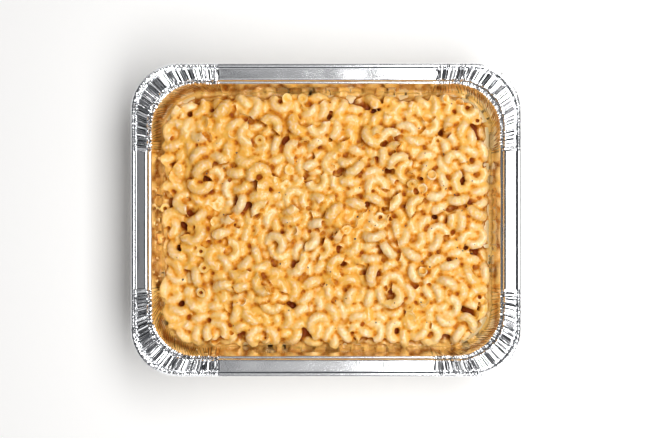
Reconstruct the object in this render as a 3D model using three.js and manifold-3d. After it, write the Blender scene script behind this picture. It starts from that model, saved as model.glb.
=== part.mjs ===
// A half-size foil steam pan filled with elbow macaroni in cheese sauce.
// Millimetres, +Z up. The origin is the centre of the pan's flat base, +X runs along the long side.
import * as THREE from "three";
import { mergeVertices } from "three/addons/utils/BufferGeometryUtils.js";
import Module from "manifold-3d";

// ---- driving dimensions ----
const pan = {
  length: 325, // over the rolled edge
  width: 261,
  outerCorner: 39, // corner radius of the rolled edge
  openingCorner: 38, // corner radius where the wall meets the ledge
  baseCorner: 31, // corner radius of the base
  foil: 0.6, // sheet thickness as modelled
  wallTop: { inset: 16.8, z: 61.2 }, // insets are measured from the rolled edge
  wallFoot: { inset: 27.6, z: 5.4 },
  footBend: { inset: 29, z: 1.9 }, // half way round from the wall to the base
  baseEdge: { inset: 32.4, z: 0.6 },
};
const rim = {
  ledge: { inset: 15, z: 61.6 },
  riser: { inset: 13.4, z: 63.7 },
  crown: { inset: 12, z: 64.2 }, // the flange's highest line
  edge: { inset: 4.8, z: 63.3 }, // where the flange meets the rolled edge
};
const bead = { radius: 2.1, z: 62.8, angles: [60, 90, 135, 180, 225, 270, 310] }; // rolled edge
const crimp = { run: 34, straightSteps: 3, arcSteps: 10, depth: 0.9 }; // gathered foil at each corner
const flute = { pitch: 10.6, width: 6.4, depth: 1.3, low: 9, high: 55, perLongSide: 12, perShortSide: 7 };
const elbow = {
  radius: 3.7, // of the tube
  bend: 7.2, // of its middle line
  sides: 4,
  steps: 3,
  arc: [125, 185], // degrees
  hole: 1.7,
  holeDepth: 2.6,
  holeSides: 5,
};
// How an elbow lies in the heap: how often, its turn about two axes, and how deep its middle sinks.
const lies = [
  { share: 0.55, tip: [-0.3, 0.3], roll: [-0.3, 0.3], sink: 0 }, // flat
  { share: 0.23, tip: [0.4, 0.9], roll: [-0.4, 0.4], sink: 1.6 }, // tipped over
  { share: 0.11, tip: [-0.3, 0.3], roll: [1.35, 1.35], sink: 3.6 }, // as an arch
  { share: 0.11, tip: [-0.3, 0.3], roll: [-1.35, -1.35], sink: 4.2, cup: true }, // open ends up
];
const heap = {
  gap: 1.3, // clear of the crimped wall
  floorGap: 0.4,
  shoulder: 37, // height where the heap leaves the wall
  edgeTop: 41.5, // top of the pasta beside the wall
  middleTop: 50.5, // top of the pasta away from the wall
  rise: 15, // how far from the wall the heap takes to rise
  ceiling: 57, // nothing stands above this
  lift: 5.6, // how far the pasta stands above the bare core
  stand: 0.9, // an elbow's middle line above the core, in elbow radii
  spacing: 21, // between neighbouring elbows of a row
  rowSpacing: 18.2,
  stagger: 5, // each row is shifted by this, one way or the other
  jitter: 4,
  wallStrip: 29, // no elbow's middle lies nearer to the rolled edge
  topLevels: [32, 55, 100], // insets of the core's facets on top
  coreStride: 5, // the core's outline keeps one point in this many
  tries: 14,
};
const seed = 2024;
const grid = 0.01; // finest step of a vertex

const halfLength = pan.length / 2;
const halfWidth = pan.width / 2;
const wasm = await Module();
wasm.setup();

let state = seed; // of the random draws
function random(low = 0, high = 1) {
  state = (state * 16807) % 2147483647;
  return low + (high - low) * (state / 2147483647);
}

// ---- rounded rectangles, which every level of the pan and the heap follows ----

// The corner radius of the level that lies `inset` inside the rolled edge.
function cornerAt(inset) {
  if (inset < pan.wallTop.inset) {
    return THREE.MathUtils.mapLinear(inset, 0, pan.wallTop.inset, pan.outerCorner, pan.openingCorner);
  }
  const slope = (pan.baseCorner - pan.openingCorner) / (pan.baseEdge.inset - pan.wallTop.inset);
  return Math.max(pan.openingCorner + slope * (inset - pan.wallTop.inset), 2);
}

// The inset of the wall's inner face at height z.
function wallInset(z) {
  return THREE.MathUtils.mapLinear(z, pan.wallFoot.z, pan.wallTop.z, pan.wallFoot.inset, pan.wallTop.inset);
}

// How far a point lies inside the rounded rectangle of a level, negative outside it.
function depthInside(x, y, inset) {
  const r = cornerAt(inset);
  const qx = Math.abs(x) - (halfLength - inset - r);
  const qy = Math.abs(y) - (halfWidth - inset - r);
  return r - Math.hypot(Math.max(qx, 0), Math.max(qy, 0)) - Math.min(Math.max(qx, qy), 0);
}

// One quarter of a level's outline, anticlockwise from the long side's end to the short side's end.
// Each entry has a place, an outward direction and whether it lies on a pleat's crest.
function quarter(inset, signX, signY) {
  const r = cornerAt(inset);
  const cx = halfLength - inset - r;
  const cy = halfWidth - inset - r;
  const points = [];
  const fromY = halfWidth - pan.outerCorner - crimp.run;
  const fromX = halfLength - pan.outerCorner - crimp.run;
  for (let i = 0; i < crimp.straightSteps; i++) {
    points.push([cx + r, THREE.MathUtils.lerp(fromY, cy, i / crimp.straightSteps), 1, 0]);
  }
  for (let i = 0; i <= crimp.arcSteps; i++) {
    const a = ((Math.PI / 2) * i) / crimp.arcSteps;
    points.push([cx + r * Math.cos(a), cy + r * Math.sin(a), Math.cos(a), Math.sin(a)]);
  }
  for (let i = crimp.straightSteps - 1; i >= 0; i--) {
    points.push([THREE.MathUtils.lerp(fromX, cx, i / crimp.straightSteps), cy + r, 0, 1]);
  }
  const last = points.length - 1;
  const placed = points.map(([x, y, nx, ny], i) => ({
    x: x * signX,
    y: y * signY,
    nx: nx * signX,
    ny: ny * signY,
    crest: i > 0 && i < last ? (i % 2 ? 1 : -1) : 0,
  }));
  return signX * signY > 0 ? placed : placed.reverse();
}

// A level's whole outline. pleatIn moves the crests inwards, pleatUp lifts them.
function outline({ inset, z, pleatIn = 0, pleatUp = 0 }) {
  const signs = [[1, 1], [-1, 1], [-1, -1], [1, -1]];
  return signs.flatMap(([sx, sy]) =>
    quarter(inset, sx, sy).map(
      (p) =>
        new THREE.Vector3(
          p.x - p.nx * Math.max(p.crest, 0) * pleatIn,
          p.y - p.ny * Math.max(p.crest, 0) * pleatIn,
          z + p.crest * pleatUp,
        ),
    ),
  );
}

// Skins a stack of outlines with the same number of points, and closes both ends at a centre point.
function loft(rings, firstCentre, lastCentre) {
  const n = rings[0].length;
  const corners = [];
  const at = (k, i) => rings[k][i % n];
  for (let i = 0; i < n; i++) corners.push(firstCentre, at(0, i), at(0, i + 1));
  for (let k = 0; k + 1 < rings.length; k++) {
    for (let i = 0; i < n; i++) {
      corners.push(at(k, i), at(k + 1, i), at(k + 1, i + 1), at(k, i), at(k + 1, i + 1), at(k, i + 1));
    }
  }
  const end = rings.length - 1;
  for (let i = 0; i < n; i++) corners.push(at(end, i), lastCentre, at(end, i + 1));
  return new THREE.BufferGeometry().setFromPoints(corners);
}

// ---- between three.js geometry and manifold-3d solids ----

function solidOf(geometry) {
  const bare = (geometry.index ? geometry.toNonIndexed() : geometry).clone();
  bare.deleteAttribute("normal");
  bare.deleteAttribute("uv");
  const merged = mergeVertices(bare, 1e-4);
  const solid = new wasm.Manifold(
    new wasm.Mesh({
      numProp: 3,
      vertProperties: merged.getAttribute("position").array,
      triVerts: new Uint32Array(merged.index.array),
    }),
  );
  if (solid.volume() <= 0) throw new Error("a loft or sweep is inside out");
  return solid;
}

// A solid's faces, with every vertex moved to a place of its own on a fine grid.
// Vertices that only touch would otherwise be merged later, which opens the surface.
function geometryOf(solid) {
  const mesh = solid.getMesh();
  const places = mesh.vertProperties.map((value) => Math.round(value / grid) * grid);
  const taken = new Set();
  for (let i = 0; i < places.length; i += 3) {
    const key = () => [0, 1, 2].map((axis) => Math.round(places[i + axis] / grid)).join();
    for (let axis = 2; taken.has(key()); axis = (axis + 1) % 3) places[i + axis] += grid;
    taken.add(key());
  }
  const indexed = new THREE.BufferGeometry();
  indexed.setAttribute("position", new THREE.BufferAttribute(places, 3));
  indexed.setIndex(new THREE.BufferAttribute(mesh.triVerts, 1));
  const geometry = indexed.toNonIndexed();
  geometry.computeVertexNormals();
  return geometry;
}

// ---- the foil pan ----

// A place of the section moved straight down by the foil's thickness.
function under({ inset, z }) {
  return { inset, z: z - pan.foil };
}

// The pan's section from the middle of the floor, up the inside, over the rolled edge and back underneath.
function panSection() {
  const t = pan.foil;
  const { wallTop, wallFoot, footBend, baseEdge } = pan;
  const wallPleat = { pleatIn: crimp.depth * 0.7 };
  const footPleat = { pleatIn: crimp.depth * 0.23 };
  const ledgePleat = { pleatIn: crimp.depth * 0.35 };
  const rimPleat = { pleatUp: crimp.depth / 2 };
  const riserPleat = { pleatUp: crimp.depth / 4 };
  const roll = bead.angles.map((degrees) => {
    const a = THREE.MathUtils.degToRad(degrees);
    return { inset: bead.radius * (1 + Math.cos(a)), z: bead.z + bead.radius * Math.sin(a), ...ledgePleat };
  });
  return [
    baseEdge,
    footBend,
    { ...wallFoot, ...footPleat },
    { ...wallTop, ...wallPleat },
    { ...rim.ledge, ...ledgePleat },
    { ...rim.riser, ...riserPleat },
    { ...rim.crown, ...rimPleat },
    { ...rim.edge, ...rimPleat },
    ...roll,
    { ...under(rim.edge), ...rimPleat },
    { ...under(rim.crown), ...rimPleat },
    { inset: rim.riser.inset - t, z: rim.riser.z - t / 2, ...riserPleat },
    { inset: rim.ledge.inset - t, z: rim.ledge.z - t, ...ledgePleat },
    { inset: wallTop.inset - t, z: wallTop.z - t, ...wallPleat },
    { inset: wallFoot.inset - t, z: wallFoot.z - t / 3, ...footPleat },
    { inset: footBend.inset - t, z: footBend.z - t },
    { inset: baseEdge.inset - t, z: 0 },
  ];
}

// A three-sided bar that lies along the wall, its edge pointing out of the pan.
function fluteBar(inner) {
  const shrink = inner ? pan.foil * 1.2 : 0;
  const half = flute.width / 2 - shrink;
  const base = inner ? 2 : -pan.foil / 2;
  const section = new THREE.Shape([
    new THREE.Vector2(-half, base),
    new THREE.Vector2(0, -flute.depth - pan.foil + shrink),
    new THREE.Vector2(half, base),
  ]);
  const length = flute.high - flute.low - 2 * shrink;
  const bar = new THREE.ExtrudeGeometry(section, { depth: length, bevelEnabled: false });
  bar.translate(0, 0, flute.low + shrink);
  return bar;
}

// Every place where a flute stands: the wall's middle line at the flute's foot, and the wall's heading.
function flutePlaces() {
  const places = [];
  const sides = [
    { count: flute.perLongSide, turn: 0, reach: halfWidth },
    { count: flute.perShortSide, turn: Math.PI / 2, reach: halfLength },
    { count: flute.perLongSide, turn: Math.PI, reach: halfWidth },
    { count: flute.perShortSide, turn: -Math.PI / 2, reach: halfLength },
  ];
  for (const { count, turn, reach } of sides) {
    for (let i = 0; i < count; i++) {
      places.push({ along: (i - (count - 1) / 2) * flute.pitch, turn, reach });
    }
  }
  return places;
}

function fluteSolids(inner) {
  const lean = Math.atan2(pan.wallFoot.inset - pan.wallTop.inset, pan.wallTop.z - pan.wallFoot.z);
  return flutePlaces().map(({ along, turn, reach }) => {
    const place = new THREE.Matrix4().makeRotationZ(turn);
    const foot = wallInset(0);
    place.multiply(new THREE.Matrix4().makeTranslation(along, -(reach - foot), 0));
    place.multiply(new THREE.Matrix4().makeRotationX(lean));
    return solidOf(fluteBar(inner).applyMatrix4(place));
  });
}

function makePan() {
  const rings = panSection().map(outline);
  const floor = new THREE.Vector3(0, 0, pan.foil);
  const shell = solidOf(loft(rings, floor, new THREE.Vector3(0, 0, 0)));
  const ridges = wasm.Manifold.union(fluteSolids(false));
  const grooves = wasm.Manifold.union(fluteSolids(true));
  return shell.add(ridges).subtract(grooves);
}

// ---- the macaroni heap ----

// The height that the pasta's top reaches over a place, with the heap's low humps and hollows.
function heapTop(x, y) {
  const fromWall = Math.max(depthInside(x, y, pan.wallTop.inset), 0);
  const rise = 1 - Math.exp(-fromWall / heap.rise);
  const humps =
    1.6 * Math.sin(x / 31 + 0.7) * Math.cos(y / 27 - 0.5) +
    1.3 * Math.sin((x + 1.7 * y) / 24 + 1.9) +
    0.9 * Math.cos((1.3 * x - y) / 15);
  return THREE.MathUtils.lerp(heap.edgeTop, heap.middleTop, rise) + humps * rise;
}

function coreGeometry() {
  const wall = (z) => ({ inset: wallInset(z) + heap.gap, z });
  const sides = [
    { inset: pan.baseEdge.inset + heap.gap, z: pan.foil + heap.floorGap },
    { inset: 30, z: 3.4 },
    wall(7),
    wall(heap.shoulder),
  ];
  const top = heap.topLevels.map((inset) => ({ inset, z: 0 }));
  const rings = sides.map(outline);
  for (const level of top) {
    const ring = outline(level);
    for (const p of ring) p.z = Math.max(heapTop(p.x, p.y) - heap.lift, heap.shoulder + 0.5);
    rings.push(ring);
  }
  const coarse = rings.map((ring) => ring.filter((_, i) => i % heap.coreStride === 2));
  const summit = new THREE.Vector3(0, 0, heapTop(0, 0) - heap.lift);
  return loft(coarse.reverse(), summit, new THREE.Vector3(0, 0, pan.foil + heap.floorGap));
}

// The height of the bare core's top over a place.
function heightOn(core, x, y) {
  const ray = new THREE.Raycaster(new THREE.Vector3(x, y, 2 * heap.ceiling), new THREE.Vector3(0, 0, -1));
  const [hit] = ray.intersectObject(core);
  return hit ? hit.point.z : heap.shoulder;
}

// The middle line of an elbow: a circular arc in its own XY plane, centred on its middle.
class Bend extends THREE.Curve {
  constructor(arc) {
    super();
    this.arc = arc;
  }
  getPoint(t, target = new THREE.Vector3()) {
    const a = (t - 0.5) * this.arc;
    return target.set(elbow.bend * (Math.cos(a) - 0.5), elbow.bend * Math.sin(a), 0);
  }
}

function elbowGeometry(arc) {
  const section = new THREE.Shape();
  for (let i = 0; i < elbow.sides; i++) {
    const a = (i / elbow.sides) * 2 * Math.PI;
    const place = [elbow.radius * Math.cos(a), elbow.radius * Math.sin(a)];
    if (i === 0) section.moveTo(...place);
    else section.lineTo(...place);
  }
  section.closePath();
  return new THREE.ExtrudeGeometry(section, {
    steps: elbow.steps,
    extrudePath: new Bend(arc),
    bevelEnabled: false,
  });
}

function randomLie() {
  let left = random();
  const lie = lies.find(({ share }) => (left -= share) < 0) ?? lies[0];
  return { ...lie, tip: random(...lie.tip), roll: random(...lie.roll) };
}

// The points on an elbow's middle line once it is placed.
function spine(matrix, arc) {
  return new Bend(arc).getPoints(8).map((p) => p.applyMatrix4(matrix));
}

function clearsPan(points) {
  const room = elbow.radius + heap.gap;
  return points.every((p) => depthInside(p.x, p.y, wallInset(p.z)) > room && p.z + elbow.radius < heap.ceiling);
}

function placeElbow(core, x, y) {
  for (let i = 0; i < heap.tries; i++) {
    const arc = THREE.MathUtils.degToRad(random(...elbow.arc));
    const lie = randomLie();
    const px = x + random(-heap.jitter, heap.jitter);
    const py = y + random(-heap.jitter, heap.jitter);
    const height = heightOn(core, px, py) + elbow.radius * heap.stand - lie.sink;
    const turn = new THREE.Euler(lie.tip, lie.roll, random(0, 2 * Math.PI), "ZYX");
    const matrix = new THREE.Matrix4().makeRotationFromEuler(turn).setPosition(px, py, height);
    if (clearsPan(spine(matrix, arc))) return { matrix, arc, cup: lie.cup };
  }
  return null;
}

// A shallow round hole in each open end of an elbow.
function elbowHoles({ matrix, arc }) {
  return [0, 1].map((end) => {
    const bend = new Bend(arc);
    const out = bend.getTangent(end).multiplyScalar(end ? 1 : -1);
    const hole = new THREE.CylinderGeometry(elbow.hole, elbow.hole, 2 * elbow.holeDepth, elbow.holeSides);
    hole.applyQuaternion(new THREE.Quaternion().setFromUnitVectors(new THREE.Vector3(0, 1, 0), out));
    hole.translate(...bend.getPoint(end));
    return solidOf(hole.applyMatrix4(matrix));
  });
}

// Staggered rows of elbows over the whole core.
function placeElbows(core) {
  const rows = Math.floor((pan.width - 2 * heap.wallStrip) / heap.rowSpacing);
  const columns = Math.floor((pan.length - 2 * heap.wallStrip) / heap.spacing);
  const placed = [];
  for (let row = 0; row <= rows; row++) {
    const y = (row - rows / 2) * heap.rowSpacing;
    for (let column = 0; column <= columns; column++) {
      const x = (column - columns / 2) * heap.spacing + (row % 2 ? heap.stagger : -heap.stagger);
      placed.push(placeElbow(core, x, y));
    }
  }
  return placed.filter((one) => one);
}

// The core with its elbows fused on. A hollow that they seal is filled.
function makeHeap() {
  const bare = coreGeometry();
  const placed = placeElbows(new THREE.Mesh(bare));
  const pasta = placed.map(({ matrix, arc }) => solidOf(elbowGeometry(arc).applyMatrix4(matrix)));
  const holes = placed.filter(({ cup }) => cup).flatMap(elbowHoles);
  const fused = wasm.Manifold.union([solidOf(bare), ...pasta]).subtract(wasm.Manifold.union(holes));
  const [largest] = fused.decompose().sort((a, b) => b.volume() - a.volume());
  return largest;
}

// ---- the scene graph ----

function part(name, solid, material) {
  const mesh = new THREE.Mesh(geometryOf(solid), material);
  mesh.name = name;
  return mesh;
}

const foilFinish = new THREE.MeshStandardMaterial({ color: 0xc9ccd1, roughness: 0.25, metalness: 1 });
const cheeseFinish = new THREE.MeshStandardMaterial({ color: 0xf2b65a, roughness: 0.4, metalness: 0 });

const dish = new THREE.Group();
dish.add(part("foil_pan", makePan(), foilFinish));
dish.add(part("macaroni_heap", makeHeap(), cheeseFinish));

export default dish;
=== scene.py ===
import math
import random

import bmesh
import bpy
import numpy as np
from mathutils import Euler, Matrix, Vector, bvhtree, kdtree, noise


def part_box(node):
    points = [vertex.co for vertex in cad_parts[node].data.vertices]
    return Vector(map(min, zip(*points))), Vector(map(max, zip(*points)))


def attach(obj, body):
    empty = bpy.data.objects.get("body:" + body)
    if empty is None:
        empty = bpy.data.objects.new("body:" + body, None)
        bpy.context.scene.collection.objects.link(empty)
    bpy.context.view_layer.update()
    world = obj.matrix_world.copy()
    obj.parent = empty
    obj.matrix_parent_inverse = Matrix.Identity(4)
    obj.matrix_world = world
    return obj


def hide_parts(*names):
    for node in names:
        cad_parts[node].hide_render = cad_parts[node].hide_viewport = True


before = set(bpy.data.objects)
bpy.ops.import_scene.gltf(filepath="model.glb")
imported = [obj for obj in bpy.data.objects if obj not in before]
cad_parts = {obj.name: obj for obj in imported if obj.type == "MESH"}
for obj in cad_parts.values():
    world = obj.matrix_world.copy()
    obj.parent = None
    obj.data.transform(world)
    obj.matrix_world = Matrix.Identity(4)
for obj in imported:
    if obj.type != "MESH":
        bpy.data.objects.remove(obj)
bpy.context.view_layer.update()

mm = 0.001
halfLength, halfWidth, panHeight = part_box("foil_pan")[1]  # the pan's middle is at x = y = 0

# levels of the pan are given by their inset from the rolled edge and their height
panForm = {
    "outerCorner": 39 * mm,
    "openingCorner": 38 * mm,
    "baseCorner": 31 * mm,
    "leastCorner": 2 * mm,
    "wallTop": (16.8 * mm, 61.2 * mm),
    "wallFoot": (27.6 * mm, 5.4 * mm),
    "baseEdge": (32.4 * mm, 0.6 * mm),
    "crimpReach": 73 * mm,  # how far the gathered foil runs back from the rolled edge's corner
}
heapForm = {
    "edgeTop": 41.5 * mm,
    "middleTop": 50.5 * mm,
    "rise": 15 * mm,  # how soon the top climbs from its edge to its middle
    "humps": ((1.6, 31, 0.7, 27, -0.5), (1.3, 24, 1.9), (0.9, 15)),  # height, length, phase; in mm
    "skew": (1.7, 1.3),  # how far the two lesser humps run aslant
}


def wallCorner(inset):  # the corner radius of wall levels, for arrays
    wallTop = panForm["wallTop"][0]
    slope = (panForm["baseCorner"] - panForm["openingCorner"]) / (panForm["baseEdge"][0] - wallTop)
    return panForm["openingCorner"] + slope * (inset - wallTop)


def cornerAt(inset):  # the corner radius of any level
    wallTop = panForm["wallTop"][0]
    if inset < wallTop:
        share = inset / wallTop
        return panForm["outerCorner"] + share * (panForm["openingCorner"] - panForm["outerCorner"])
    return max(wallCorner(inset), panForm["leastCorner"])


def wallInset(z):
    (topInset, topZ), (footInset, footZ) = panForm["wallTop"], panForm["wallFoot"]
    return footInset + (z - footZ) * (topInset - footInset) / (topZ - footZ)


def depthInside(x, y, inset):  # how far a place lies inside a level's outline
    r = wallCorner(inset)
    qx = np.abs(x) - (halfLength - inset - r)
    qy = np.abs(y) - (halfWidth - inset - r)
    outside = np.hypot(np.maximum(qx, 0), np.maximum(qy, 0))
    return r - outside - np.minimum(np.maximum(qx, qy), 0)


def heapTop(x, y):  # the pasta's top, with its low humps and hollows
    fromWall = np.maximum(depthInside(x, y, panForm["wallTop"][0]), 0)
    rise = 1 - np.exp(-fromWall / heapForm["rise"])
    mx, my = x / mm, y / mm
    long, cross, fine = heapForm["humps"]
    skew = heapForm["skew"]
    humps = long[0] * np.sin(mx / long[1] + long[2]) * np.cos(my / long[3] + long[4])
    humps = humps + cross[0] * np.sin((mx + skew[0] * my) / cross[1] + cross[2])
    humps = humps + fine[0] * np.cos((skew[1] * mx - my) / fine[1])
    climb = heapForm["middleTop"] - heapForm["edgeTop"]
    return heapForm["edgeTop"] + climb * rise + humps * rise * mm


def addLinked(name, data):
    made = bpy.data.objects.new(name, data)
    bpy.context.scene.collection.objects.link(made)
    return made


def addObject(name, mesh, material, slotName, *replaced):
    piece = addLinked(name, mesh)
    piece.data.materials.append(material)
    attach(piece, "root")
    if replaced:
        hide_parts(*replaced)


def newMesh(name, bm, smooth=True):
    mesh = bpy.data.meshes.new(name)
    bm.to_mesh(mesh)
    bm.free()
    if smooth:
        mesh.shade_smooth()
    return mesh


def printTriangles(mesh):
    mesh.calc_loop_triangles()
    print(mesh.name, "has", len(mesh.loop_triangles), "triangles")


def growLoop(bm, loop):  # extrudes an open loop, and gives the new points and edges
    grown = bmesh.ops.extrude_edge_only(bm, edges=loop)["geom"]
    points = [g for g in grown if isinstance(g, bmesh.types.BMVert)]
    return points, [g for g in grown if isinstance(g, bmesh.types.BMEdge) and g.is_boundary]


def openEdges(points):
    return list({e for v in points for e in v.link_edges if e.is_boundary})


def bakeModifiers(mesh, name, steps):  # runs a stack of modifiers on a mesh and keeps the result
    holder = addLinked(name, mesh)
    for kind, values in steps:
        modifier = holder.modifiers.new(kind.lower(), kind)
        for key, value in values.items():
            setattr(modifier, key, value)
    graph = bpy.context.evaluated_depsgraph_get()
    baked = bpy.data.meshes.new_from_object(holder.evaluated_get(graph))
    baked.name = name
    bpy.data.objects.remove(holder)
    bpy.data.meshes.remove(mesh)
    return baked


view = {
    "sensor": 36,
    "distance": 1.05,  # above the rim
    "farthest": 20,
    "rimWidth": 391,  # in pixels, as are the next ones
    "imageWidth": 650,
    "shift": (-1.0, 1.0),
}


def makeView():
    camera = bpy.data.cameras.new("camera")
    camera.sensor_width = view["sensor"]
    rimSpan = 2 * halfLength * view["imageWidth"] / view["rimWidth"]
    camera.lens = view["sensor"] * view["distance"] / rimSpan
    camera.clip_end = view["farthest"]
    camera.shift_x, camera.shift_y = [shift / view["imageWidth"] for shift in view["shift"]]
    holder = addLinked("camera", camera)
    holder.location = (0, 0, panHeight + view["distance"])
    bpy.context.scene.camera = holder


studio = {
    "lights": {  # power, size and place
        "keyLight": (37.8, (0.85, 2.5), (0.6, -0.08, 1.5)),
        "spillBack": (0.38, (0.4, 1.1), (-0.03, 0.55, 1.5)),
        "spillFront": (0.56, (0.4, 1.1), (-0.03, -0.55, 1.5)),
        "leftLight": (0.24, (0.55, 0.8), (-0.78, -0.05, 1.5)),
        "backLight": (2.35, (1.3, 0.8), (-0.35, 1.25, 1.5)),
        "frontLight": (3.6, (1.3, 0.8), (-0.35, -1.4, 1.5)),
    },
    "world": {"Color": (0.06, 0.063, 0.07, 1), "Strength": 1.0},
    "floorSize": 4,
    "floor": {
        "Base Color": (0.95, 0.94, 0.925, 1),
        "Roughness": 0.9,
        "Specular IOR Level": 0.1,
        "Emission Color": (1, 0.99, 0.97, 1),
        "Emission Strength": 0.08,
    },
}


def setInputs(node, values):
    for name, value in values.items():
        node.inputs[name].default_value = value
    return node


def makeLights():
    for name, (power, size, place) in studio["lights"].items():
        light = bpy.data.lights.new(name, "AREA")
        light.shape = "RECTANGLE"
        light.size, light.size_y = size
        light.energy = power
        addLinked(name, light).location = place
    world = bpy.data.worlds.new("studio")
    world.use_nodes = True
    setInputs(world.node_tree.nodes["Background"], studio["world"])
    bpy.context.scene.world = world
    bpy.context.scene.view_settings.view_transform = "Standard"


def newMaterial(name):  # a material, its nodes, its links and its shader
    material = bpy.data.materials.new(name)
    material.use_nodes = True
    nodes = material.node_tree.nodes
    return material, nodes, material.node_tree.links, nodes["Principled BSDF"]


def makeFloor():
    bm = bmesh.new()
    bmesh.ops.create_grid(bm, x_segments=1, y_segments=1, size=studio["floorSize"])
    material, _, _, shader = newMaterial("paleFloor")
    setInputs(shader, studio["floor"])
    floor = addLinked("floor", newMesh("floor", bm, smooth=False))
    floor.data.materials.append(material)


makeView()
makeLights()
makeFloor()
print("view ready")


def addNode(nodes, kind, values=None):
    return setInputs(nodes.new("ShaderNode" + kind), values or {})


def addMask(nodes, name):  # a value kept on the mesh's points
    attribute = nodes.new("ShaderNodeAttribute")
    attribute.attribute_name = name
    return attribute.outputs["Fac"]


def mixColours(nodes, links, mask, plain, changed):  # goes from plain to changed by a mask
    mixer = nodes.new("ShaderNodeMix")
    mixer.data_type = "RGBA"
    links.new(mask, mixer.inputs["Factor"])
    for socket, value in ((mixer.inputs[6], plain), (mixer.inputs[7], changed)):  # its two colours
        if isinstance(value, tuple):
            socket.default_value = (*value, 1)
        else:
            links.new(value, socket)
    return mixer.outputs[2]


foilLook = {
    "clean": (0.9, 0.905, 0.915),
    "greasedWithPaintedLight": (1, 0.92, 0.79),  # the walls, dulled by steam and sauce; their colour is lighter and warmer than clean foil, painted light that brightens their reflection of the shaded food by the walls
    # painted shade along the folds and in the grooves between flutes
    "foldShade": (0.025, 0.022, 0.022),
    "greaseAndPaintedLightFade": {"From Min": 0.061, "From Max": 0.0585},  # heights, over which the walls turn greased and take their painted light
    "roughness": {"To Min": 0.11, "To Max": 0.2},
    "greasedRoughness": 0.2,
    "wear": {"Scale": 90},
    "grain": {"Scale": 900, "Detail": 2},
    "grainStretch": (1, 1, 0.02),  # upright on the walls
    "bump": {"Strength": 0.5, "Distance": 0.00013},
}


def foilMaterial():
    material, nodes, links, shader = newMaterial("rolledFoil")
    shader.inputs["Metallic"].default_value = 1
    place = addNode(nodes, "TexCoord").outputs["Object"]
    stretch = addNode(nodes, "Mapping", {"Scale": foilLook["grainStretch"]})
    grain = addNode(nodes, "TexNoise", foilLook["grain"])
    wear = addNode(nodes, "TexNoise", foilLook["wear"])
    rough = addNode(nodes, "MapRange", foilLook["roughness"])
    height = addNode(nodes, "SeparateXYZ")
    greaseAndPaintedLight = addNode(nodes, "MapRange", foilLook["greaseAndPaintedLightFade"])
    dulled = addNode(nodes, "Mix", {"B": foilLook["greasedRoughness"]})
    bump = addNode(nodes, "Bump", foilLook["bump"])
    links.new(place, stretch.inputs["Vector"])
    links.new(stretch.outputs["Vector"], grain.inputs["Vector"])
    links.new(place, wear.inputs["Vector"])
    links.new(wear.outputs["Fac"], rough.inputs["Value"])
    links.new(place, height.inputs["Vector"])
    links.new(height.outputs["Z"], greaseAndPaintedLight.inputs["Value"])
    links.new(greaseAndPaintedLight.outputs["Result"], dulled.inputs["Factor"])
    links.new(rough.outputs["Result"], dulled.inputs["A"])
    links.new(dulled.outputs["Result"], shader.inputs["Roughness"])
    # painted light: the walls take a lighter, warmer colour than the flange
    bare = mixColours(nodes, links, greaseAndPaintedLight.outputs["Result"], foilLook["clean"], foilLook["greasedWithPaintedLight"])
    # painted shade darkens the folds and the grooves
    bare = mixColours(nodes, links, addMask(nodes, "foldShade"), bare, foilLook["foldShade"])
    links.new(bare, shader.inputs["Base Color"])
    links.new(grain.outputs["Fac"], bump.inputs["Height"])
    links.new(bump.outputs["Normal"], shader.inputs["Normal"])
    return material


pastaLook = {
    "elbows": ((0.89, 0.67, 0.33), (0.88, 0.54, 0.14)),  # the palest elbow and the deepest one
    "patches": (0.91, 0.73, 0.44),
    "patchNoise": {"Scale": 260, "Detail": 4},
    "patchFade": {"From Min": 0.5, "From Max": 0.72, "To Max": 0.6},
    "masks": {  # laid over the elbows one after the other; besides the sauce's depth, mostly painted shade and light
        "sauceDepth": (0.87, 0.455, 0.07),
        # paler crests, where the sauce runs thin, and partly a painted highlight
        "thinSauceAndHighlight": (0.95, 0.8, 0.68),
        # painted light: brighter, more orange food by the walls, which shade it; the walls also reflect
        # it
        "paintedLightByWall": (1, 0.64, 0.18),
        # painted shade in the creases between elbows
        "crease": (0.77, 0.31, 0.02),
        # painted shade, darkest, in the sharpest folds between elbows
        "crackShade": (0.34, 0.07, 0.003),
        # painted shade deep in the gaps between elbows
        "hollowShade": (0.21, 0.035, 0.002),
    },
    "glossFade": {"From Max": 0.8, "To Min": 1, "To Max": 0},  # down into the creases
    "shader": {
        "Coat Roughness": 0.18,
        "Specular IOR Level": 0.15,
        "Roughness": 0.5,
        "Subsurface Weight": 0.12,
        "Subsurface Radius": (1.0, 0.6, 0.25),
        "Subsurface Scale": 0.0015,
    },
}


def pastaMaterial():
    material, nodes, links, shader = newMaterial("cheesyPasta")
    masks = {name: addMask(nodes, name) for name in pastaLook["masks"]}
    place = addNode(nodes, "TexCoord")
    blotch = addNode(nodes, "TexNoise", pastaLook["patchNoise"])
    patch = addNode(nodes, "MapRange", pastaLook["patchFade"])
    links.new(place.outputs["Object"], blotch.inputs["Vector"])
    links.new(blotch.outputs["Fac"], patch.inputs["Value"])
    colour = mixColours(nodes, links, addMask(nodes, "elbowTone"), *pastaLook["elbows"])
    colour = mixColours(nodes, links, patch.outputs["Result"], colour, pastaLook["patches"])
    for name, changed in pastaLook["masks"].items():
        colour = mixColours(nodes, links, masks[name], colour, changed)
    links.new(colour, shader.inputs["Base Color"])
    gloss = addNode(nodes, "MapRange", pastaLook["glossFade"])
    links.new(masks["crease"], gloss.inputs["Value"])
    links.new(gloss.outputs["Result"], shader.inputs["Coat Weight"])
    setInputs(shader, pastaLook["shader"])
    return material


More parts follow.
